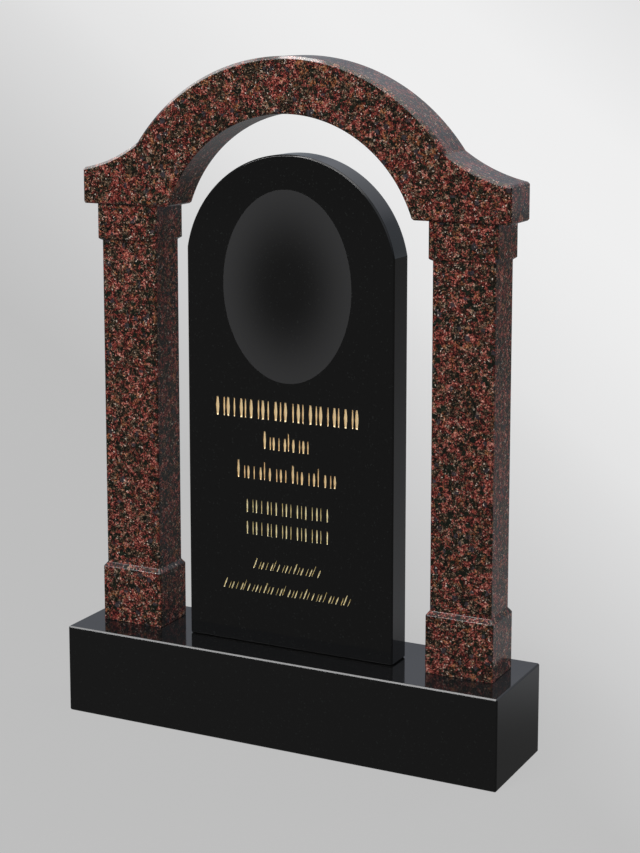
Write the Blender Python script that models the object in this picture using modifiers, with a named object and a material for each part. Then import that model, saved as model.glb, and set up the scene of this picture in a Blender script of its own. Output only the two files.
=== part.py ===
"""Granite headstone: an arched slab under a stone arch on two columns, all on one base block.

Metres, +Z up. The origin is on the ground below the middle of the base, and the front faces -Y.
"""
import math
from collections import namedtuple

import bmesh
import bpy
from mathutils import Matrix, Vector

# Base block
BASE_LENGTH = 1.050
BASE_DEPTH = 0.250
BASE_HEIGHT = 0.200
BASE_ARRIS = 0.003

# Columns, each a shaft with a wider foot block and a wider capital cut from one stone
SHAFT_WIDTH = 0.140
SHAFT_DEPTH = 0.100
COLUMN_HEIGHT = 0.965
COLUMN_OFFSET = 0.014
COLUMN_INSET = 0.044
FOOT_HEIGHT = 0.136
CAPITAL_HEIGHT = 0.083
BLOCK_OUTSET = 0.007
FOOT_STEP_HEIGHT = 0.010
CAPITAL_STEP_HEIGHT = 0.005
COLUMN_ARRIS = 0.003

# Arch, which rests on both capitals
ARCH_DEPTH = 0.108
ARCH_OFFSET = 0.002
ARCH_OUTER_OVERHANG = 0.031
ARCH_INNER_OVERHANG = 0.034
ARCH_END_HEIGHT = 0.080
ARCH_SHOULDER_LENGTH = 0.142
ARCH_SHOULDER_RISE = 0.060
ARCH_SHOULDER_HOLLOW = 0.0085
ARCH_OPENING_RISE = 0.211
ARCH_CROWN_THICKNESS = 0.122
ARCH_ARRIS = 0.0060
ARCH_FINE_ARRIS_SHARE = 0.65

# Stele, the upright slab with a round head
STELE_THICKNESS = 0.070
STELE_OFFSET = -0.005
STELE_SIDE_GAP = 0.077
STELE_CROWN_GAP = 0.086
STELE_HEAD_RISE = 0.210
STELE_ARRIS = 0.003

# Engraving: rows of plain strokes, set by their height above the foot of the stele
STROKE_DEPTH = 0.0015
STROKE_THIN_SHARE = 0.55
STROKE_TALL_EVERY = 5
STROKE_SWAY_SHARE = 0.18
STROKE_SWAY_TURN = 2.0
ENGRAVING_CENTRE = -0.0045
Row = namedtuple("Row", "height length stroke_height short_share stroke_width pitch slant_deg")
ENGRAVED_ROWS = (
    Row(0.5315, 0.349, 0.0480, 1.00, 0.0070, 0.0145, 0),
    Row(0.4650, 0.113, 0.0450, 0.72, 0.0056, 0.0125, 0),
    Row(0.3955, 0.244, 0.0450, 0.72, 0.0052, 0.0132, 0),
    Row(0.3135, 0.199, 0.0335, 1.00, 0.0033, 0.0125, 0),
    Row(0.2640, 0.199, 0.0335, 1.00, 0.0033, 0.0125, 0),
    Row(0.1850, 0.159, 0.0290, 0.72, 0.0028, 0.0100, 22),
    Row(0.1315, 0.310, 0.0290, 0.72, 0.0028, 0.0100, 22),
)

# Joints between the stones, and the fineness of the arcs and arrises
BED_JOINT = 0.0003
ARC_STEP_DEG = 3.0
STROKE_SIDES = 6
SHARP_ANGLE_DEG = 60.0
FLAT_ANGLE_DEG = 0.3
WELD_DISTANCE = 0.00001

# Places worked out from the sizes above
BLOCK_WIDTH = SHAFT_WIDTH + 2 * BLOCK_OUTSET
COLUMN_CENTRE = BASE_LENGTH / 2 - COLUMN_INSET - BLOCK_WIDTH / 2
BED_TOP = BASE_HEIGHT + BED_JOINT
ARCH_BOTTOM = BASE_HEIGHT + COLUMN_HEIGHT
CAPITAL_TOP = ARCH_BOTTOM - BED_JOINT
ARCH_HALF_LENGTH = COLUMN_CENTRE + BLOCK_WIDTH / 2 + ARCH_OUTER_OVERHANG
ARCH_HALF_OPENING = COLUMN_CENTRE - BLOCK_WIDTH / 2 - ARCH_INNER_OVERHANG
ARCH_END_TOP = ARCH_BOTTOM + ARCH_END_HEIGHT
ARCH_OPENING_CROWN = ARCH_BOTTOM + ARCH_OPENING_RISE
STELE_HALF_WIDTH = COLUMN_CENTRE - BLOCK_WIDTH / 2 - STELE_SIDE_GAP
STELE_TOP = ARCH_OPENING_CROWN - STELE_CROWN_GAP
STELE_FRONT = STELE_OFFSET - STELE_THICKNESS / 2


def clear_scene():
    """Remove every object, so the script can be run again in the same file."""
    for old in list(bpy.data.objects):
        bpy.data.objects.remove(old, do_unlink=True)


def new_collection(name):
    """Make a collection under the scene's own."""
    collection = bpy.data.collections.new(name)
    bpy.context.scene.collection.children.link(collection)
    return collection


def stone(name, colour, roughness):
    """Polished stone as one plain colour."""
    material = bpy.data.materials.new(name)
    material.use_nodes = True
    shader = material.node_tree.nodes["Principled BSDF"]
    shader.inputs["Base Color"].default_value = (*colour, 1.0)
    shader.inputs["Roughness"].default_value = roughness
    shader.inputs["Metallic"].default_value = 0.0
    return material


def arc_points(half_width, springing, crown):
    """Points of an upright arc from -half_width over the crown to +half_width, ends included."""
    rise = crown - springing
    radius = (half_width ** 2 + rise ** 2) / (2 * rise)
    centre = crown - radius
    half_angle = math.atan2(half_width, springing - centre)
    steps = max(2, math.ceil(2 * math.degrees(half_angle) / ARC_STEP_DEG))
    angles = [half_angle * (2 * i / steps - 1) for i in range(steps + 1)]
    return [(radius * math.sin(a), centre + radius * math.cos(a)) for a in angles]


def shoulder_points(outer_x, bottom, inner_x, top, hollow):
    """Points of a slightly hollow slope from the arch's end to its back, the last one left out."""
    run = outer_x - inner_x
    rise = top - bottom
    chord = math.hypot(run, rise)
    turn = 4 * math.atan2(2 * hollow, chord)
    radius = chord / (2 * math.sin(turn / 2))
    start = math.atan2(rise, run) - turn / 2
    steps = max(2, math.ceil(math.degrees(turn) / ARC_STEP_DEG))
    points = []
    for i in range(steps):
        slope = start + turn * i / steps
        along = radius * (math.sin(slope) - math.sin(start))
        up = radius * (math.cos(start) - math.cos(slope))
        points.append((outer_x - along, bottom + up))
    return points


def slab(name, outline, thickness, centre_y):
    """Stand a flat outline, given as x and z, upright as a slab of one thickness."""
    curve = bpy.data.curves.new(name + "_outline", "CURVE")
    curve.dimensions = "2D"
    curve.fill_mode = "BOTH"
    curve.extrude = thickness / 2
    spline = curve.splines.new("POLY")
    spline.points.add(len(outline) - 1)
    for point, (x, z) in zip(spline.points, outline):
        point.co = (x, z, 0.0, 1.0)
    spline.use_cyclic_u = True
    guide = bpy.data.objects.new(name + "_outline", curve)
    bpy.context.scene.collection.objects.link(guide)
    guide.matrix_world = Matrix.Translation((0.0, centre_y, 0.0)) @ Matrix.Rotation(math.radians(90), 4, "X")
    bpy.context.view_layer.update()
    evaluated = guide.evaluated_get(bpy.context.evaluated_depsgraph_get())
    mesh = bpy.data.meshes.new_from_object(evaluated)
    body = bpy.data.objects.new(name, mesh)
    body.matrix_world = guide.matrix_world
    bpy.data.objects.remove(guide, do_unlink=True)
    shape = bmesh.new()
    shape.from_mesh(mesh)
    bmesh.ops.remove_doubles(shape, verts=shape.verts, dist=WELD_DISTANCE)
    flat = math.radians(FLAT_ANGLE_DEG)
    bmesh.ops.dissolve_limit(shape, angle_limit=flat, verts=shape.verts, edges=shape.edges)
    bmesh.ops.recalc_face_normals(shape, faces=shape.faces)
    shape.to_mesh(mesh)
    shape.free()
    return body


def tiered_block(name, half_width, half_depth, tiers):
    """Square stone built upwards, where each tier gives a height and how far its sides stand out."""
    shape = bmesh.new()
    bmesh.ops.create_cube(shape, size=2.0)
    (low, low_outset), (high, high_outset) = tiers[:2]
    for vert in shape.verts:
        level, outset = (low, low_outset) if vert.co.z < 0 else (high, high_outset)
        vert.co = (vert.co.x * (half_width + outset), vert.co.y * (half_depth + outset), level)
    for level, outset in tiers[2:]:
        top = max(shape.faces, key=lambda face: face.calc_center_median().z)
        grown = bmesh.ops.extrude_discrete_faces(shape, faces=[top])["faces"][0]
        for vert in grown.verts:
            side_x = math.copysign(half_width + outset, vert.co.x)
            side_y = math.copysign(half_depth + outset, vert.co.y)
            vert.co = (side_x, side_y, level)
    bmesh.ops.recalc_face_normals(shape, faces=shape.faces)
    mesh = bpy.data.meshes.new(name)
    shape.to_mesh(mesh)
    shape.free()
    return bpy.data.objects.new(name, mesh)


def weigh_arrises(body, share_of):
    """Mark the square edges for the chamfer, each with its share of the full width."""
    shape = bmesh.new()
    shape.from_mesh(body.data)
    weight = shape.edges.layers.float.new("bevel_weight_edge")
    for edge in shape.edges:
        if edge.calc_face_angle() > math.radians(SHARP_ANGLE_DEG):
            edge[weight] = share_of(edge)
    shape.to_mesh(body.data)
    shape.free()


def chamfer(body, width, share_of=None):
    """Take the sharp arrises off with a small flat chamfer, of one width unless shares are given."""
    weigh_arrises(body, share_of or (lambda edge: 1.0))
    bevel = body.modifiers.new("arris", "BEVEL")
    bevel.width = width
    bevel.segments = 1
    bevel.limit_method = "WEIGHT"


def make_base():
    """Plain rectangular block that carries everything."""
    body = tiered_block("base", BASE_LENGTH / 2, BASE_DEPTH / 2, [(0.0, 0.0), (BASE_HEIGHT, 0.0)])
    chamfer(body, BASE_ARRIS)
    return body


def column_arris_share(edge):
    """No chamfer where a column is bedded on the base and under the arch, and a full one elsewhere."""
    for vert in edge.verts:
        if BED_TOP + WELD_DISTANCE < vert.co.z < CAPITAL_TOP - WELD_DISTANCE:
            return 1.0
    return 0.0


def make_column(name, centre_x):
    """Shaft between a foot block and a capital, each joined to it by a small slope."""
    foot_top = BASE_HEIGHT + FOOT_HEIGHT
    capital_bottom = ARCH_BOTTOM - CAPITAL_HEIGHT
    tiers = [
        (BED_TOP, BLOCK_OUTSET),
        (foot_top - FOOT_STEP_HEIGHT, BLOCK_OUTSET),
        (foot_top, 0.0),
        (capital_bottom, 0.0),
        (capital_bottom + CAPITAL_STEP_HEIGHT, BLOCK_OUTSET),
        (CAPITAL_TOP, BLOCK_OUTSET),
    ]
    body = tiered_block(name, SHAFT_WIDTH / 2, SHAFT_DEPTH / 2, tiers)
    body.location = (centre_x, COLUMN_OFFSET, 0.0)
    chamfer(body, COLUMN_ARRIS, column_arris_share)
    return body


def arch_arris_share(edge):
    """Full chamfer along both faces of the arch's back, and a finer one on its other edges."""
    # The slab lies flat before it is turned upright, so its y is the height
    places = [(abs(vert.co.x), vert.co.y) for vert in edge.verts]
    if all(x > ARCH_HALF_LENGTH - WELD_DISTANCE for x, height in places):
        return ARCH_FINE_ARRIS_SHARE
    for x, height in places:
        at_opening = x < ARCH_HALF_OPENING + WELD_DISTANCE and height < ARCH_OPENING_CROWN + WELD_DISTANCE
        if at_opening or height < ARCH_END_TOP - WELD_DISTANCE:
            return ARCH_FINE_ARRIS_SHARE
    return 1.0


def make_arch():
    """Round arch with sloping shoulders, resting on the capitals."""
    shoulder_top = ARCH_END_TOP + ARCH_SHOULDER_RISE
    shoulder_x = ARCH_HALF_LENGTH - ARCH_SHOULDER_LENGTH
    right = shoulder_points(ARCH_HALF_LENGTH, ARCH_END_TOP, shoulder_x, shoulder_top, ARCH_SHOULDER_HOLLOW)
    outline = [(ARCH_HALF_LENGTH, ARCH_BOTTOM)]
    outline += right
    outline += reversed(arc_points(shoulder_x, shoulder_top, ARCH_OPENING_CROWN + ARCH_CROWN_THICKNESS))
    outline += [(-x, z) for x, z in reversed(right)]
    outline += [(-ARCH_HALF_LENGTH, ARCH_BOTTOM)]
    outline += arc_points(ARCH_HALF_OPENING, ARCH_BOTTOM, ARCH_OPENING_CROWN)
    body = slab("arch", outline, ARCH_DEPTH, ARCH_OFFSET)
    chamfer(body, ARCH_ARRIS, arch_arris_share)
    return body


def row_strokes(row):
    """Matrices of the strokes of one row, thick and thin by turns and slightly uneven in step."""
    length = row.length - row.stroke_width
    count = 1 + round(length / row.pitch)
    step = length / (count - 1)
    middle = Vector((ENGRAVING_CENTRE, STELE_FRONT, BASE_HEIGHT + row.height))
    lean = Matrix.Rotation(math.radians(row.slant_deg), 4, "Y")
    # A prism with a corner at each end is this much narrower than the circle round it
    side_share = math.cos(math.pi / STROKE_SIDES)
    for index in range(count):
        thin = index % 2 == 1
        tall = index % STROKE_TALL_EVERY == 0
        width = row.stroke_width * (STROKE_THIN_SHARE if thin else 1.0)
        height = row.stroke_height * (1.0 if tall else row.short_share)
        sway = STROKE_SWAY_SHARE * math.sin(STROKE_SWAY_TURN * index)
        along = (index - (count - 1) / 2 + sway) * step
        down = (height - row.stroke_height) / 2
        size = Matrix.Diagonal((width / 2 / side_share, STROKE_DEPTH, height / 2, 1.0))
        yield Matrix.Translation(middle + Vector((along, 0.0, down))) @ lean @ size


def make_stroke_cutter():
    """One cutter that holds every engraved stroke as a pointed bar across the stele's face."""
    shape = bmesh.new()
    # The bar's corners point up and down, and its length runs through the face
    upright = Matrix.Rotation(math.radians(90), 4, "X") @ Matrix.Rotation(math.radians(90), 4, "Z")
    for row in ENGRAVED_ROWS:
        for place in row_strokes(row):
            bmesh.ops.create_cone(
                shape,
                cap_ends=True,
                segments=STROKE_SIDES,
                radius1=1.0,
                radius2=1.0,
                depth=2.0,
                matrix=place @ upright,
            )
    bmesh.ops.recalc_face_normals(shape, faces=shape.faces)
    mesh = bpy.data.meshes.new("engraving_cutter")
    shape.to_mesh(mesh)
    shape.free()
    cutter = bpy.data.objects.new("engraving_cutter", mesh)
    cutter.hide_render = True
    cutter.display_type = "WIRE"
    return cutter


def make_stele(cutter):
    """Upright slab with a round head and rows of engraved strokes."""
    springing = STELE_TOP - STELE_HEAD_RISE
    outline = [(-STELE_HALF_WIDTH, BED_TOP), (STELE_HALF_WIDTH, BED_TOP)]
    outline += reversed(arc_points(STELE_HALF_WIDTH, springing, STELE_TOP))
    body = slab("stele", outline, STELE_THICKNESS, STELE_OFFSET)
    chamfer(body, STELE_ARRIS)
    engraving = body.modifiers.new("engraving", "BOOLEAN")
    engraving.operation = "DIFFERENCE"
    engraving.object = cutter
    return body


def main():
    clear_scene()
    parts = new_collection("granite_headstone")
    cutters = new_collection("headstone_cutters")

    cutter = make_stroke_cutter()
    cutters.objects.link(cutter)
    black = stone("black_stone_base", (0.014, 0.014, 0.015), 0.12)
    slab_black = stone("black_stone_stele", (0.010, 0.010, 0.011), 0.10)
    red_left = stone("red_granite_left", (0.120, 0.042, 0.034), 0.15)
    red_right = stone("red_granite_right", (0.120, 0.042, 0.034), 0.15)
    red_arch = stone("red_granite_arch", (0.125, 0.044, 0.036), 0.15)

    ground = bpy.data.objects.new("headstone_ground", None)
    parts.objects.link(ground)
    pieces = (
        (make_base(), black),
        (make_stele(cutter), slab_black),
        (make_column("column_left", -COLUMN_CENTRE), red_left),
        (make_column("column_right", COLUMN_CENTRE), red_right),
        (make_arch(), red_arch),
    )
    for body, material in pieces:
        parts.objects.link(body)
        body.data.materials.append(material)
        body.parent = ground


main()
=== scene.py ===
"""Looks of a granite headstone: a black slab under a red granite arch on columns, on a black base."""

import math
from collections import namedtuple

import bmesh
import bpy
from mathutils import Matrix, Vector


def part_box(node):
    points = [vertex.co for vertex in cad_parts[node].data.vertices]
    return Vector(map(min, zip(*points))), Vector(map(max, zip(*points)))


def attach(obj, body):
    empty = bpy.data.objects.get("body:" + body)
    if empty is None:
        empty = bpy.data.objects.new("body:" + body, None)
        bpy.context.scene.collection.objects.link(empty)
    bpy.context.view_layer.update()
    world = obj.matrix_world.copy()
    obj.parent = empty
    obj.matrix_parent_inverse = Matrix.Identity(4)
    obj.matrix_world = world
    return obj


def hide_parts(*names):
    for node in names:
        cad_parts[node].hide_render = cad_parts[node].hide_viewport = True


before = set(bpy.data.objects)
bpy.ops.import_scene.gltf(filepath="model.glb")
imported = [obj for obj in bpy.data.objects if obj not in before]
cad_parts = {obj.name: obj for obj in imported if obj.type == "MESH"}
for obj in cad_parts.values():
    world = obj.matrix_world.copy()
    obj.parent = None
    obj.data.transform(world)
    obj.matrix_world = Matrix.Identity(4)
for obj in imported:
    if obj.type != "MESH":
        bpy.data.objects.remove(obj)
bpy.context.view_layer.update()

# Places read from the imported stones
BASE_LOW, BASE_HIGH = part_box("base")
STELE_LOW, STELE_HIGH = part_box("stele")
ARCH_LOW, ARCH_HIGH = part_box("arch")
BASE_TOP = BASE_HIGH.z
STELE_FRONT = STELE_LOW.y

# Columns: the foot block and the capital stand out from the shaft, each over a small slope
FOOT_HEIGHT = 0.136
CAPITAL_HEIGHT = 0.083
BLOCK_OUTSET = 0.007
FOOT_STEP_HEIGHT = 0.010
CAPITAL_STEP_HEIGHT = 0.005

# Arch: sloping shoulders, a round back and a round opening
ARCH_INNER_OVERHANG = 0.034
ARCH_END_HEIGHT = 0.080
ARCH_SHOULDER_LENGTH = 0.142
ARCH_SHOULDER_RISE = 0.060
ARCH_SHOULDER_HOLLOW = 0.0085
ARCH_OPENING_RISE = 0.211
ARCH_END_TOP = ARCH_LOW.z + ARCH_END_HEIGHT
ARCH_OPENING_CROWN = ARCH_LOW.z + ARCH_OPENING_RISE
ARCH_HALF_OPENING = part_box("column_right")[0].x - ARCH_INNER_OVERHANG

# Stele: how far the round head rises above its sides
STELE_HEAD_RISE = 0.210

# Arrises: a flat chamfer on each square edge, and a slight rounding of what edges are left
BASE_ARRIS = 0.003
STONE_ARRIS = 0.003
ARCH_ARRIS = 0.0060
ARCH_FINE_ARRIS_SHARE = 0.65
EASED_EDGE = 0.0006
COLUMN_EASED_EDGE = 0.0012
EASED_SEGMENTS = 3
SQUARE_ANGLE_DEG = 60.0
EASED_ANGLE_DEG = 30.0
CREASE_ANGLE_DEG = 18.0
ARC_STEP_DEG = 1.0
LENGTH_TOLERANCE = 0.00001

# Engraving: rows of plain strokes, set by their height above the foot of the stele
STROKE_DEPTH = 0.0015
STROKE_FLOOR_SHARE = 0.85
STROKE_THIN_SHARE = 0.55
STROKE_TALL_EVERY = 5
STROKE_SWAY_SHARE = 0.18
STROKE_SWAY_TURN = 2.0
STROKE_SIDES = 6
ENGRAVING_CENTRE = -0.0045
Row = namedtuple("Row", "height length stroke_height short_share stroke_width pitch slant_deg gold")
ENGRAVED_ROWS = (
    Row(0.5315, 0.349, 0.0480, 1.00, 0.0070, 0.0145, 0, 0),
    Row(0.4650, 0.113, 0.0450, 0.72, 0.0056, 0.0125, 0, 0),
    Row(0.3955, 0.244, 0.0450, 0.72, 0.0052, 0.0132, 0, 0),
    Row(0.3135, 0.199, 0.0335, 1.00, 0.0033, 0.0125, 0, 1),
    Row(0.2640, 0.199, 0.0335, 1.00, 0.0033, 0.0125, 0, 1),
    Row(0.1850, 0.159, 0.0290, 0.72, 0.0028, 0.0100, 22, 1),
    Row(0.1315, 0.310, 0.0290, 0.72, 0.0028, 0.0100, 22, 1),
)

# Oval field on the face of the stele, shaded towards its rim
OVAL_CENTRE_X = -0.004
OVAL_CENTRE_Z = 1.005
OVAL_HALF_WIDTH = 0.155
OVAL_HALF_HEIGHT = 0.210

# Camera, fitted to the photograph
CAMERA_PLACE = (1.871, -3.596, 1.588)
CAMERA_DOWN_DEG = 8.33
CAMERA_TURN_DEG = 26.77
CAMERA_LENS = 80.0
CAMERA_SHIFT_Y = -0.16

# Polish of the stones and the paint
GRANITE_ROUGHNESS = 0.12
GABBRO_ROUGHNESS = 0.08
GILDING_ROUGHNESS = 0.42
GILDING_METALLIC = 0.15

# Where the pattern of each stone is cut, so that no two stones look alike
BASE_PATTERN = (0.0, 0.0, 0.0)
STELE_PATTERN = (3.1, 0.7, 1.9)
LEFT_PATTERN = (0.0, 0.0, 0.0)
RIGHT_PATTERN = (1.7, 5.2, 3.3)
ARCH_PATTERN = (7.3, 2.1, 4.4)

# Red granite: each scale is in features a metre, and each edge is where one kind of grain
# gives way to the next
Noise = namedtuple("Noise", "scale detail roughness")
STIR = Noise(400.0, 1.0, 0.5)
STIR_LENGTH = 0.004
CLOUD = Noise(620.0, 2.0, 0.6)
CLOUD_SPAN = (0.32, 0.68)
PATCH_SCALE = 110.0
GRAIN_SCALE = 360.0
CLOUD_SHARE = 0.32
GRAIN_SHARE = 0.50
PATCH_SHARE = 0.18
TONE_SPAN = (0.12, 0.88)
BREAK_UP = 0.24
RED_CLOUD = Noise(50.0, 3.0, 0.6)
RED_EDGE = (0.49, 0.53)
ORANGE_CLOUD = Noise(55.0, 2.0, 0.5)
ORANGE_OFFSET = (9.0, 4.0, 2.0)
ORANGE_EDGE = (0.655, 0.69)
PATCH_SHADE = 2.6
MICA_EDGE = (0.86, 0.88)
QUARTZ_EDGE = (0.965, 0.97)
GLINT_CLOUD_SHARE = 0.05
GLINT_EDGE = (1.011, 1.020)
GROUND_TONES = (
    (0.00, (0.002, 0.002, 0.001)),
    (0.42, (0.008, 0.006, 0.004)),
    (0.62, (0.038, 0.024, 0.013)),
    (0.80, (0.140, 0.084, 0.050)),
    (1.00, (0.540, 0.400, 0.290)),
)
FELDSPAR_TONES = (
    (0.00, (0.006, 0.002, 0.002)),
    (0.30, (0.030, 0.005, 0.005)),
    (0.55, (0.175, 0.024, 0.019)),
    (0.78, (0.460, 0.105, 0.078)),
    (1.00, (0.880, 0.480, 0.380)),
)
ORANGE_TONES = (
    (0.00, (0.020, 0.006, 0.003)),
    (0.50, (0.210, 0.050, 0.015)),
    (1.00, (0.640, 0.320, 0.160)),
)
MICA = (0.0070, 0.0100, 0.0055)
QUARTZ = (0.032, 0.026, 0.030)
GLINT = (0.820, 0.680, 0.580)

# Black gabbro and its frosted oval
BASE_BLACK = (0.0080, 0.0080, 0.0080)
STELE_BLACK = (0.0060, 0.0060, 0.0060)
FLECK = (0.0150, 0.0165, 0.0160)
FLECK_SCALE = 420.0
FLECK_EDGE = (0.965, 0.995)
FROSTED = (0.041, 0.041, 0.042)
FROST_REACH = (0.15, 1.05)
FROST_SPAN = (0.10, 1.0)
FROST_BEND = 1.4

# Gilding: a deep gold in the upper rows and a lighter one in the lower
DEEP_GOLD = (0.92, 0.70, 0.40)
LIGHT_GOLD = (0.94, 0.84, 0.55)
GOLD_CLOUD = Noise(700.0, 2.0, 0.5)
GOLD_CLOUD_SHARE = 0.3
GOLD_LEAST = 0.85

# Backdrop: tones seen along a slope of view directions, and tones mirrored by height
BACKDROP_SLOPE = (0.694, 0.512, 0.990)
BACKDROP_SPAN = (-0.25, 0.35)
BACKDROP_TONES = (
    (0.00, (0.515, 0.515, 0.515)),
    (0.167, (0.520, 0.520, 0.520)),
    (0.257, (0.571, 0.571, 0.573)),
    (0.345, (0.638, 0.638, 0.640)),
    (0.433, (0.716, 0.716, 0.718)),
    (0.485, (0.776, 0.776, 0.778)),
    (0.595, (0.838, 0.838, 0.840)),
    (0.662, (0.863, 0.863, 0.865)),
    (0.760, (0.863, 0.863, 0.865)),
    (0.898, (0.776, 0.776, 0.780)),
)
MIRRORED_TONES = (
    (0.00, (0.29, 0.315, 0.345)),
    (0.08, (0.26, 0.285, 0.315)),
    (0.27, (0.29, 0.315, 0.360)),
    (0.36, (0.48, 0.500, 0.560)),
    (0.42, (0.54, 0.565, 0.620)),
    (0.74, (0.60, 0.64, 0.68)),
    (0.88, (3.00, 2.95, 2.95)),
)
MIRRORED_LOW_FRONT = (0.09, 0.09, 0.09)
FRONT_EDGE = (0.15, -0.15)
LOW_EDGE = (0.30, 0.10)
AMBIENT = (0.17, 0.17, 0.17)

# Floor: the paint and glow that the eye sees, where it fades away, and the painted light and shade on it
# that the stone mirrors
FLOOR_RADIUS = 11.2
FLOOR_SIDES = 96
FLOOR_ROUGHNESS = 0.9
FLOOR_PAINT = (0.05, 0.05, 0.05)
FLOOR_GLOW = (0.515, 0.515, 0.515)
FLOOR_GLOW_STRENGTH = 0.94
FADE_CENTRE = (-0.2, -0.1, 0.0)
FADE_REACH = (0.45, 1.1)
FLOOR_MIRRORED_DARK = (0.11, 0.11, 0.11)
FLOOR_MIRRORED_LIGHT = (0.44, 0.45, 0.47)
PAINTED_SHADOW_REACH = (0.5, 1.1)
MIRRORED_BEHIND = (-0.2, 0.6)
MIRRORED_DECAY = -0.36
SHADE_BAND_SLANT = 0.4
SHADE_BAND_OFFSET = 0.4
SHADE_BAND_WIDTH = 0.9

# Lamps: the first group lights the stone without being mirrored in it, and the second is only
# mirrored, as the light lines along the chamfers
Lamp = namedtuple("Lamp", "name place target size power")
AIM = (0.0, 0.0, 0.8)
LIGHTING_LAMPS = (
    Lamp("key", (-1.4, -5.6, 4.4), AIM, (2.4, 2.4), 315.0),
    Lamp("rear", (2.4, 3.4, 3.0), AIM, (2.4, 2.0), 50.0),
    Lamp("side", (3.4, 0.0, 1.6), AIM, (1.2, 1.2), 14.0),
)
MIRRORED_LAMPS = (
    Lamp("base_strip", (-1.65, -1.33, 3.2), (-1.65, -1.33, 0.0), (2.7, 0.55), 27.0),
    Lamp("crown_strip", (-0.68, -0.16, 3.2), (-0.68, -0.16, 0.0), (0.60, 0.40), 7.0),
    Lamp("left_panel", (-3.0, 0.65, 3.2), (-3.0, 0.65, 0.0), (3.2, 1.7), 51.0),
    Lamp("front_band", (-1.5, -3.6, 2.60), AIM, (3.0, 0.9), 136.0),
)


class Graph:
    """The nodes of one material or world, added by short calls."""

    def __init__(self, owner):
        owner.use_nodes = True
        self.tree = owner.node_tree

    def node(self, kind, inputs=None, **settings):
        """Add a node. An input is linked where it is given a socket, and set otherwise."""
        made = self.tree.nodes.new("ShaderNode" + kind)
        for name, value in settings.items():
            setattr(made, name, value)
        for name, value in (inputs or {}).items():
            self.feed(made.inputs[name], value)
        return made

    def feed(self, socket, value):
        """Give an input a value or the output of another node."""
        if isinstance(value, bpy.types.NodeSocket):
            self.tree.links.new(value, socket)
        else:
            socket.default_value = value

    def math(self, operation, first, second=0.0):
        """One sum on plain numbers. Some sums have no second number."""
        return self.node("Math", {0: first, 1: second}, operation=operation).outputs[0]

    def product(self, *factors):
        """All the numbers multiplied together."""
        total = factors[0]
        for factor in factors[1:]:
            total = self.math("MULTIPLY", total, factor)
        return total

    def vector(self, operation, first, second):
        """One sum on vectors."""
        return self.node("VectorMath", {0: first, 1: second}, operation=operation).outputs["Vector"]

    def measure(self, operation, first, second=(0.0, 0.0, 0.0)):
        """One number found from vectors, such as a length or a distance."""
        return self.node("VectorMath", {0: first, 1: second}, operation=operation).outputs["Value"]

    def smooth(self, value, low, high, to_low=0.0, to_high=1.0):
        """Soft step from one value to another as a number passes from low to high."""
        inputs = {"Value": value, "From Min": low, "From Max": high, "To Min": to_low, "To Max": to_high}
        return self.node("MapRange", inputs, interpolation_type="SMOOTHSTEP").outputs[0]

    def span(self, value, low, high):
        """How far a number has come from low to high, even in step and kept from 0 to 1."""
        return self.node("MapRange", {"Value": value, "From Min": low, "From Max": high}).outputs[0]

    def mix(self, factor, first, second, blend="MIX"):
        """Mix two colours."""
        made = self.node("Mix", data_type="RGBA", blend_type=blend)
        self.feed(made.inputs["Factor"], factor)
        self.feed(made.inputs[6], first)
        self.feed(made.inputs[7], second)
        return made.outputs[2]

    def noise(self, place, kind, output="Fac"):
        """Cloudy noise of a given kind."""
        inputs = {"Vector": place, "Scale": kind.scale, "Detail": kind.detail, "Roughness": kind.roughness}
        return self.node("TexNoise", inputs).outputs[output]

    def grains(self, place, scale):
        """Three random numbers for each grain, with scale in grains a metre."""
        cells = self.node("TexVoronoi", {"Vector": place, "Scale": scale})
        return self.node("SeparateColor", {"Color": cells.outputs["Color"]}).outputs

    def tint(self, colour, shade):
        """A colour made lighter or darker by a number."""
        return self.mix(1.0, opaque(colour), shade, "MULTIPLY")

    def ramp(self, value, stops):
        """Colours by value. Each stop is a position and a colour."""
        made = self.node("ValToRGB", {"Fac": value})
        elements = made.color_ramp.elements
        while len(elements) < len(stops):
            elements.new(0.5)
        for element, (position, colour) in zip(elements, stops):
            element.position = position
            element.color = (*colour, 1.0)
        return made.outputs["Color"]


def opaque(colour):
    """A colour with its alpha, as a socket wants it."""
    return (*colour, 1.0)


def surface_graph(name, roughness):
    """Start a surface: its material, nodes and shader."""
    material = bpy.data.materials.new(name)
    graph = Graph(material)
    shader = graph.tree.nodes["Principled BSDF"]
    shader.inputs["Roughness"].default_value = roughness
    return material, graph, shader


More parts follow.
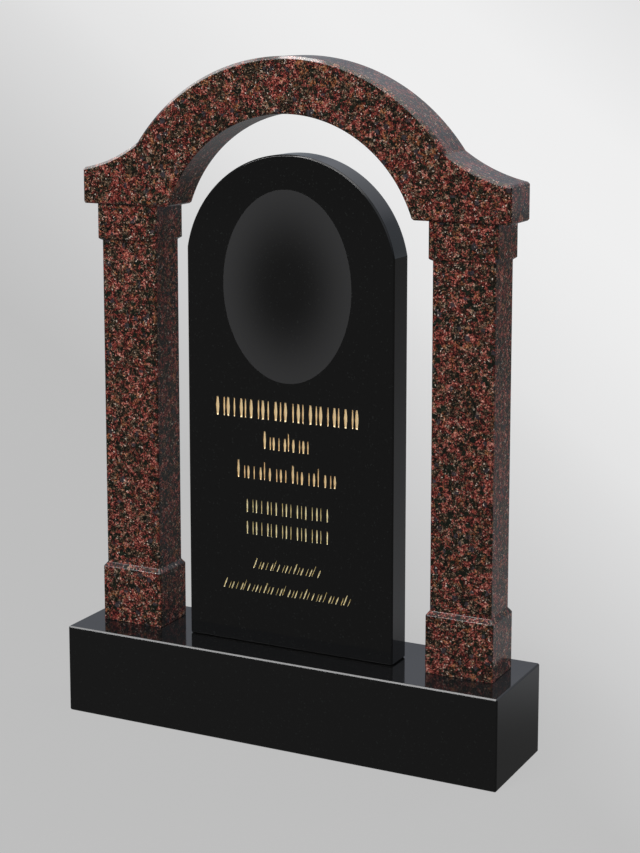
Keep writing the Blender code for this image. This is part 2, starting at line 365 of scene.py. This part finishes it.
def red_granite(name, offset):
    """Polished red granite. The offset moves the pattern."""
    material, graph, shader = surface_graph(name, GRANITE_ROUGHNESS)
    place = graph.vector("ADD", graph.node("TexCoord").outputs["Object"], offset)
    stir = graph.vector("SUBTRACT", graph.noise(place, STIR, "Color"), (0.5, 0.5, 0.5))
    stirred = graph.vector("ADD", place, graph.vector("MULTIPLY", stir, (STIR_LENGTH,) * 3))
    patch = graph.grains(stirred, PATCH_SCALE)
    grain = graph.grains(stirred, GRAIN_SCALE)

    # Tone of each grain, broken up within by finer cloud
    cloud = graph.span(graph.noise(place, CLOUD), *CLOUD_SPAN)
    cloud_part = graph.math("MULTIPLY", cloud, CLOUD_SHARE)
    grain_part = graph.math("MULTIPLY", grain[0], GRAIN_SHARE)
    patch_part = graph.math("MULTIPLY", patch[0], PATCH_SHARE)
    blend = graph.math("ADD", graph.math("ADD", cloud_part, grain_part), patch_part)
    tone = graph.span(blend, *TONE_SPAN)

    # Clusters of red and of orange feldspar in a dark brown ground
    break_up = graph.math("MULTIPLY", graph.math("SUBTRACT", grain[1], 0.5), BREAK_UP)
    red_cloud = graph.math("ADD", graph.noise(place, RED_CLOUD), break_up)
    elsewhere = graph.vector("ADD", place, ORANGE_OFFSET)
    orange_cloud = graph.math("ADD", graph.noise(elsewhere, ORANGE_CLOUD), break_up)
    red = graph.smooth(red_cloud, *RED_EDGE)
    orange = graph.smooth(orange_cloud, *ORANGE_EDGE)
    colour = graph.mix(red, graph.ramp(tone, GROUND_TONES), graph.ramp(tone, FELDSPAR_TONES))
    colour = graph.mix(orange, colour, graph.ramp(tone, ORANGE_TONES))

    # Patches of black-green mica and of grey-violet quartz, and single pale glints
    shade = graph.math("MULTIPLY", tone, PATCH_SHADE)
    mica_patch = graph.math("ADD", patch[1], break_up)
    colour = graph.mix(graph.smooth(mica_patch, *MICA_EDGE), colour, graph.tint(MICA, shade))
    colour = graph.mix(graph.smooth(patch[2], *QUARTZ_EDGE), colour, graph.tint(QUARTZ, shade))
    glint_reach = graph.math("ADD", grain[2], graph.math("MULTIPLY", cloud, GLINT_CLOUD_SHARE))
    colour = graph.mix(graph.smooth(glint_reach, *GLINT_EDGE), colour, opaque(GLINT))
    graph.feed(shader.inputs["Base Color"], colour)
    return material


def black_stone(name, offset, ground):
    """Polished black gabbro: near black, with sparse faint flecks. Gives back its nodes too."""
    material, graph, shader = surface_graph(name, GABBRO_ROUGHNESS)
    place = graph.node("TexCoord").outputs["Object"]
    fleck = graph.grains(graph.vector("ADD", place, offset), FLECK_SCALE)
    sparse = graph.smooth(fleck[0], *FLECK_EDGE)
    colour = graph.mix(sparse, opaque(ground), opaque(FLECK))
    graph.feed(shader.inputs["Base Color"], colour)
    return material, graph, shader, place, colour


def stele_stone():
    """Black stone with a shaded oval on its face, lightest along the rim."""
    material, graph, shader, place, colour = black_stone("black_stone_stele", STELE_PATTERN, STELE_BLACK)
    centred = graph.vector("SUBTRACT", place, (OVAL_CENTRE_X, 0.0, OVAL_CENTRE_Z))
    scaled = graph.vector("MULTIPLY", centred, (1 / OVAL_HALF_WIDTH, 0.0, 1 / OVAL_HALF_HEIGHT))
    reach = graph.measure("LENGTH", scaled)
    rim = graph.math("POWER", graph.smooth(reach, *FROST_REACH, *FROST_SPAN), FROST_BEND)
    inside = graph.math("LESS_THAN", reach, 1.0)
    depth = graph.node("SeparateXYZ", {0: place}).outputs["Y"]
    on_face = graph.math("LESS_THAN", depth, STELE_FRONT + STROKE_DEPTH)
    frosted = graph.mix(graph.product(rim, inside, on_face), colour, opaque(FROSTED))
    graph.feed(shader.inputs["Base Color"], frosted)
    return material


def gilding(name, colour):
    """Gold paint laid in the engraving, slightly uneven."""
    material, graph, shader = surface_graph(name, GILDING_ROUGHNESS)
    shader.inputs["Metallic"].default_value = GILDING_METALLIC
    uneven = graph.noise(graph.node("TexCoord").outputs["Object"], GOLD_CLOUD)
    shade = graph.math("ADD", graph.math("MULTIPLY", uneven, GOLD_CLOUD_SHARE), GOLD_LEAST)
    graph.feed(shader.inputs["Base Color"], graph.tint(colour, shade))
    return material


def arc_points(half_width, springing, crown):
    """Points of an upright arc from -half_width over the crown to +half_width, ends included."""
    rise = crown - springing
    radius = (half_width ** 2 + rise ** 2) / (2 * rise)
    centre = crown - radius
    half_angle = math.atan2(half_width, springing - centre)
    steps = 2 * math.ceil(math.degrees(half_angle) / ARC_STEP_DEG)
    angles = [half_angle * (2 * i / steps - 1) for i in range(steps + 1)]
    return [(radius * math.sin(a), centre + radius * math.cos(a)) for a in angles]


def shoulder_points(outer_x, bottom, inner_x, top, hollow):
    """Points of a slightly hollow slope from the arch's end to its back, the last one left out."""
    run = outer_x - inner_x
    rise = top - bottom
    chord = math.hypot(run, rise)
    turn = 4 * math.atan2(2 * hollow, chord)
    radius = chord / (2 * math.sin(turn / 2))
    start = math.atan2(rise, run) - turn / 2
    steps = math.ceil(math.degrees(turn) / ARC_STEP_DEG)
    points = []
    for i in range(steps):
        slope = start + turn * i / steps
        along = radius * (math.sin(slope) - math.sin(start))
        up = radius * (math.cos(start) - math.cos(slope))
        points.append((outer_x - along, bottom + up))
    return points


def link(name, data):
    """Put a mesh, lamp or lens in the scene as an object."""
    made = bpy.data.objects.new(name, data)
    bpy.context.scene.collection.objects.link(made)
    return made


def show(name, shape):
    """Put a finished bmesh in the scene as an object."""
    mesh = bpy.data.meshes.new(name)
    shape.to_mesh(mesh)
    shape.free()
    return link(name, mesh)


def slab(name, outline, front, back):
    """Stand a flat outline, given as x and z, upright between a front and a back."""
    shape = bmesh.new()
    ring = [shape.verts.new((x, front, z)) for x, z in outline]
    face = shape.faces.new(ring)
    grown = bmesh.ops.extrude_face_region(shape, geom=[face])["geom"]
    moved = [item for item in grown if isinstance(item, bmesh.types.BMVert)]
    bmesh.ops.translate(shape, verts=moved, vec=(0.0, back - front, 0.0))
    bmesh.ops.recalc_face_normals(shape, faces=shape.faces)
    return show(name, shape)


def tiered_block(name, low, high, tiers):
    """Square stone built upwards, where each tier gives a height and how far its sides stand in."""
    shape = bmesh.new()
    bmesh.ops.create_cube(shape, size=2.0)
    middle = (low + high) / 2
    half = (high - low) / 2

    def settle(verts, level, inset):
        for vert in verts:
            side_x = middle.x + math.copysign(half.x - inset, vert.co.x - middle.x)
            side_y = middle.y + math.copysign(half.y - inset, vert.co.y - middle.y)
            vert.co = (side_x, side_y, level)

    bmesh.ops.translate(shape, verts=shape.verts, vec=middle)
    lower = [vert for vert in shape.verts if vert.co.z < middle.z]
    upper = [vert for vert in shape.verts if vert.co.z > middle.z]
    settle(lower, *tiers[0])
    settle(upper, *tiers[1])
    for level, inset in tiers[2:]:
        top = max(shape.faces, key=lambda face: face.calc_center_median().z)
        grown = bmesh.ops.extrude_discrete_faces(shape, faces=[top])["faces"][0]
        settle(grown.verts, level, inset)
    bmesh.ops.recalc_face_normals(shape, faces=shape.faces)
    return show(name, shape)


def weigh_arrises(body, share_of):
    """Mark the square edges for the chamfer, each with its share of the full width."""
    shape = bmesh.new()
    shape.from_mesh(body.data)
    weight = shape.edges.layers.float.new("bevel_weight_edge")
    for edge in shape.edges:
        if edge.calc_face_angle() > math.radians(SQUARE_ANGLE_DEG):
            edge[weight] = share_of(edge)
    shape.to_mesh(body.data)
    shape.free()


def bake(body):
    """Give a piece its evaluated mesh and drop its modifiers."""
    evaluated = body.evaluated_get(bpy.context.evaluated_depsgraph_get())
    mesh = bpy.data.meshes.new_from_object(evaluated)
    body.modifiers.clear()
    body.data = mesh


def full_share(edge):
    """The full chamfer on every square edge."""
    return 1.0


def dress_edges(body, arris, eased=EASED_EDGE, share_of=full_share):
    """Chamfer the square edges and ease what edges are left."""
    weigh_arrises(body, share_of)
    chamfer = body.modifiers.new("arris", "BEVEL")
    chamfer.width = arris
    chamfer.segments = 1
    chamfer.limit_method = "WEIGHT"
    easing = body.modifiers.new("eased", "BEVEL")
    easing.width = eased
    easing.segments = EASED_SEGMENTS
    easing.limit_method = "ANGLE"
    easing.angle_limit = math.radians(EASED_ANGLE_DEG)


def polish(body):
    """Shade smooth, with flat faces kept flat."""
    body.data.shade_smooth()
    body.data.set_sharp_from_angle(angle=math.radians(CREASE_ANGLE_DEG))
    flat = body.modifiers.new("flat_faces", "WEIGHTED_NORMAL")
    flat.keep_sharp = True
    bake(body)


def hand_over(body, node):
    """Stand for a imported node, on the part's one body."""
    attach(body, "root")
    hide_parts(node)


def make_base():
    """Plain rectangular block that carries everything."""
    body = tiered_block("base_block", BASE_LOW, BASE_HIGH, [(BASE_LOW.z, 0.0), (BASE_TOP, 0.0)])
    dress_edges(body, BASE_ARRIS)
    bake(body)
    body.data.materials.append(black_stone("black_stone_base", BASE_PATTERN, BASE_BLACK)[0])
    polish(body)
    hand_over(body, "base")


def column_arris_share(edge):
    """No chamfer where a column is bedded on the base and under the arch, and a full one elsewhere."""
    low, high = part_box("column_left")
    for vert in edge.verts:
        if low.z + LENGTH_TOLERANCE < vert.co.z < high.z - LENGTH_TOLERANCE:
            return 1.0
    return 0.0


def make_column(name, node, material):
    """Shaft between a foot block and a capital, each joined to it by a small slope."""
    low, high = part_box(node)
    foot_top = BASE_TOP + FOOT_HEIGHT
    capital_bottom = ARCH_LOW.z - CAPITAL_HEIGHT
    tiers = [
        (low.z, 0.0),
        (foot_top - FOOT_STEP_HEIGHT, 0.0),
        (foot_top, BLOCK_OUTSET),
        (capital_bottom, BLOCK_OUTSET),
        (capital_bottom + CAPITAL_STEP_HEIGHT, 0.0),
        (high.z, 0.0),
    ]
    body = tiered_block(name, low, high, tiers)
    dress_edges(body, STONE_ARRIS, COLUMN_EASED_EDGE, column_arris_share)
    bake(body)
    body.data.materials.append(material)
    polish(body)
    hand_over(body, node)


def arch_arris_share(edge):
    """Full chamfer along both faces of the arch's back, and a finer one on its other edges."""
    if all(abs(vert.co.x) > ARCH_HIGH.x - LENGTH_TOLERANCE for vert in edge.verts):
        return ARCH_FINE_ARRIS_SHARE
    for vert in edge.verts:
        within = abs(vert.co.x) < ARCH_HALF_OPENING + LENGTH_TOLERANCE
        at_opening = within and vert.co.z < ARCH_OPENING_CROWN + LENGTH_TOLERANCE
        if at_opening or vert.co.z < ARCH_END_TOP - LENGTH_TOLERANCE:
            return ARCH_FINE_ARRIS_SHARE
    return 1.0


def make_arch():
    """Round arch with sloping shoulders, resting on the capitals."""
    half_length = ARCH_HIGH.x
    shoulder_top = ARCH_END_TOP + ARCH_SHOULDER_RISE
    shoulder_x = half_length - ARCH_SHOULDER_LENGTH
    right = shoulder_points(half_length, ARCH_END_TOP, shoulder_x, shoulder_top, ARCH_SHOULDER_HOLLOW)
    outline = [(half_length, ARCH_LOW.z)]
    outline += right
    outline += reversed(arc_points(shoulder_x, shoulder_top, ARCH_HIGH.z))
    outline += [(-x, z) for x, z in reversed(right)]
    outline += [(-half_length, ARCH_LOW.z)]
    outline += arc_points(ARCH_HALF_OPENING, ARCH_LOW.z, ARCH_OPENING_CROWN)
    body = slab("arch_stone", outline, ARCH_LOW.y, ARCH_HIGH.y)
    dress_edges(body, ARCH_ARRIS, share_of=arch_arris_share)
    bake(body)
    body.data.materials.append(red_granite("red_granite_arch", ARCH_PATTERN))
    polish(body)
    hand_over(body, "arch")


def row_strokes(row):
    """Matrices of the strokes of one row, thick and thin by turns and slightly uneven in step."""
    length = row.length - row.stroke_width
    count = 1 + round(length / row.pitch)
    step = length / (count - 1)
    middle = Vector((ENGRAVING_CENTRE, STELE_FRONT, BASE_TOP + row.height))
    lean = Matrix.Rotation(math.radians(row.slant_deg), 4, "Y")
    side_share = math.cos(math.pi / STROKE_SIDES)
    for index in range(count):
        thin = index % 2 == 1
        tall = index % STROKE_TALL_EVERY == 0
        width = row.stroke_width * (STROKE_THIN_SHARE if thin else 1.0)
        height = row.stroke_height * (1.0 if tall else row.short_share)
        sway = STROKE_SWAY_SHARE * math.sin(STROKE_SWAY_TURN * index)
        along = (index - (count - 1) / 2 + sway) * step
        down = (height - row.stroke_height) / 2
        size = Matrix.Diagonal((width / 2 / side_share, STROKE_DEPTH, height / 2, 1.0))
        yield Matrix.Translation(middle + Vector((along, 0.0, down))) @ lean @ size


def make_engraving_cutter():
    """One cutter that holds every engraved stroke as a tapered bar, gilded with the gold of its row."""
    shape = bmesh.new()
    upright = Matrix.Rotation(math.radians(90), 4, "X") @ Matrix.Rotation(math.radians(90), 4, "Z")
    for row in ENGRAVED_ROWS:
        for place in row_strokes(row):
            made = bmesh.ops.create_cone(
                shape,
                cap_ends=True,
                segments=STROKE_SIDES,
                radius1=STROKE_FLOOR_SHARE,
                radius2=2.0 - STROKE_FLOOR_SHARE,
                depth=2.0,
                matrix=place @ upright,
            )
            for face in {face for vert in made["verts"] for face in vert.link_faces}:
                face.material_index = row.gold
    bmesh.ops.recalc_face_normals(shape, faces=shape.faces)
    cutter = show("engraving_cutter", shape)
    cutter.data.materials.append(gilding("gilding_deep", DEEP_GOLD))
    cutter.data.materials.append(gilding("gilding_light", LIGHT_GOLD))
    return cutter


def make_stele():
    """Upright slab with a round head and rows of engraved strokes."""
    half_width = STELE_HIGH.x
    outline = [(-half_width, STELE_LOW.z), (half_width, STELE_LOW.z)]
    outline += reversed(arc_points(half_width, STELE_HIGH.z - STELE_HEAD_RISE, STELE_HIGH.z))
    body = slab("stele_slab", outline, STELE_LOW.y, STELE_HIGH.y)
    dress_edges(body, STONE_ARRIS)
    bake(body)
    body.data.materials.append(stele_stone())
    cutter = make_engraving_cutter()
    engraving = body.modifiers.new("engraving", "BOOLEAN")
    engraving.operation = "DIFFERENCE"
    engraving.object = cutter
    engraving.material_mode = "TRANSFER"
    bake(body)
    bpy.data.objects.remove(cutter, do_unlink=True)
    polish(body)
    hand_over(body, "stele")


def make_camera():
    """Camera at the photograph's viewing angle."""
    lens = bpy.data.cameras.new("camera")
    lens.lens = CAMERA_LENS
    lens.shift_y = CAMERA_SHIFT_Y
    camera = link("camera", lens)
    camera.location = CAMERA_PLACE
    camera.rotation_euler = (math.radians(90 - CAMERA_DOWN_DEG), 0.0, math.radians(CAMERA_TURN_DEG))
    bpy.context.scene.camera = camera


def make_softbox(lamp):
    """Rectangular soft light aimed at a point."""
    light = bpy.data.lights.new(lamp.name, "AREA")
    light.shape = "RECTANGLE"
    light.size, light.size_y = lamp.size
    light.energy = lamp.power
    made = link(lamp.name, light)
    made.location = lamp.place
    aim = Vector(lamp.target) - Vector(lamp.place)
    made.rotation_euler = aim.to_track_quat("-Z", "Y").to_euler()
    return made


def make_world():
    """Pale backdrop for the eye, softer and darker where it lights the stone or is mirrored in it."""
    world = bpy.data.worlds.new("studio")
    bpy.context.scene.world = world
    graph = Graph(world)
    direction = graph.node("TexCoord").outputs["Generated"]
    slope = graph.measure("DOT_PRODUCT", direction, BACKDROP_SLOPE)
    seen = graph.ramp(graph.span(slope, *BACKDROP_SPAN), BACKDROP_TONES)
    parts = graph.node("SeparateXYZ", {0: direction}).outputs
    in_front = graph.smooth(parts["Y"], *FRONT_EDGE)
    low = graph.smooth(parts["Z"], *LOW_EDGE)
    mirrored = graph.ramp(parts["Z"], MIRRORED_TONES)
    mirrored = graph.mix(graph.product(in_front, low), mirrored, opaque(MIRRORED_LOW_FRONT))
    path = graph.node("LightPath").outputs
    lit = graph.mix(path["Is Glossy Ray"], opaque(AMBIENT), mirrored)
    colour = graph.mix(path["Is Camera Ray"], lit, seen)
    graph.feed(graph.tree.nodes["Background"].inputs["Color"], colour)


def make_floor():
    """Round pale floor that glows and fades into the backdrop. To the stone it is a glow painted with
    light and shade, which the stone mirrors and is lit by.
    """
    shape = bmesh.new()
    bmesh.ops.create_circle(shape, cap_ends=True, segments=FLOOR_SIDES, radius=FLOOR_RADIUS)
    floor = show("floor", shape)
    material, graph, shader = surface_graph("floor_paint", FLOOR_ROUGHNESS)
    floor.data.materials.append(material)
    shader.inputs["Specular IOR Level"].default_value = 0.0
    shader.inputs["Base Color"].default_value = opaque(FLOOR_PAINT)
    shader.inputs["Emission Color"].default_value = opaque(FLOOR_GLOW)
    shader.inputs["Emission Strength"].default_value = FLOOR_GLOW_STRENGTH
    place = graph.node("TexCoord").outputs["Object"]
    fade = graph.smooth(graph.measure("DISTANCE", place, FADE_CENTRE), *FADE_REACH)
    clear = graph.node("BsdfTransparent").outputs[0]
    seen = graph.node("MixShader", {0: fade, 1: shader.outputs[0], 2: clear}).outputs[0]

    # The stone mirrors a glow painted lighter behind it, with painted shadow of the stone near it and in a
    # slanting band, and darker again with distance
    reach = graph.measure("LENGTH", place)
    parts = graph.node("SeparateXYZ", {0: place}).outputs
    across = graph.math("SUBTRACT", parts["X"], graph.math("MULTIPLY", parts["Y"], SHADE_BAND_SLANT))
    off_band = graph.math("ABSOLUTE", graph.math("ADD", across, SHADE_BAND_OFFSET))
    # Painted shadow of the stone on the floor close around it
    near = graph.smooth(reach, *PAINTED_SHADOW_REACH)
    far = graph.math("EXPONENT", graph.math("MULTIPLY", reach, MIRRORED_DECAY))
    behind = graph.smooth(parts["Y"], *MIRRORED_BEHIND)
    beside = graph.smooth(off_band, 0.0, SHADE_BAND_WIDTH)
    light = graph.product(near, far, behind, beside)
    tone = graph.mix(light, opaque(FLOOR_MIRRORED_DARK), opaque(FLOOR_MIRRORED_LIGHT))
    mirrored = graph.node("Emission", {"Color": tone}).outputs[0]
    camera_ray = graph.node("LightPath").outputs["Is Camera Ray"]
    surface = graph.node("MixShader", {0: camera_ray, 1: mirrored, 2: seen}).outputs[0]
    graph.feed(graph.tree.nodes["Material Output"].inputs["Surface"], surface)


def make_studio():
    """Floor, world and soft lights."""
    bpy.context.scene.view_settings.view_transform = "Standard"
    make_floor()
    make_world()
    for lamp in LIGHTING_LAMPS:
        make_softbox(lamp).visible_glossy = False
    for lamp in MIRRORED_LAMPS:
        make_softbox(lamp).visible_diffuse = False


make_camera()
make_base()
make_stele()
make_column("column_left_stone", "column_left", red_granite("red_granite_left", LEFT_PATTERN))
make_column("column_right_stone", "column_right", red_granite("red_granite_right", RIGHT_PATTERN))
make_arch()
make_studio()
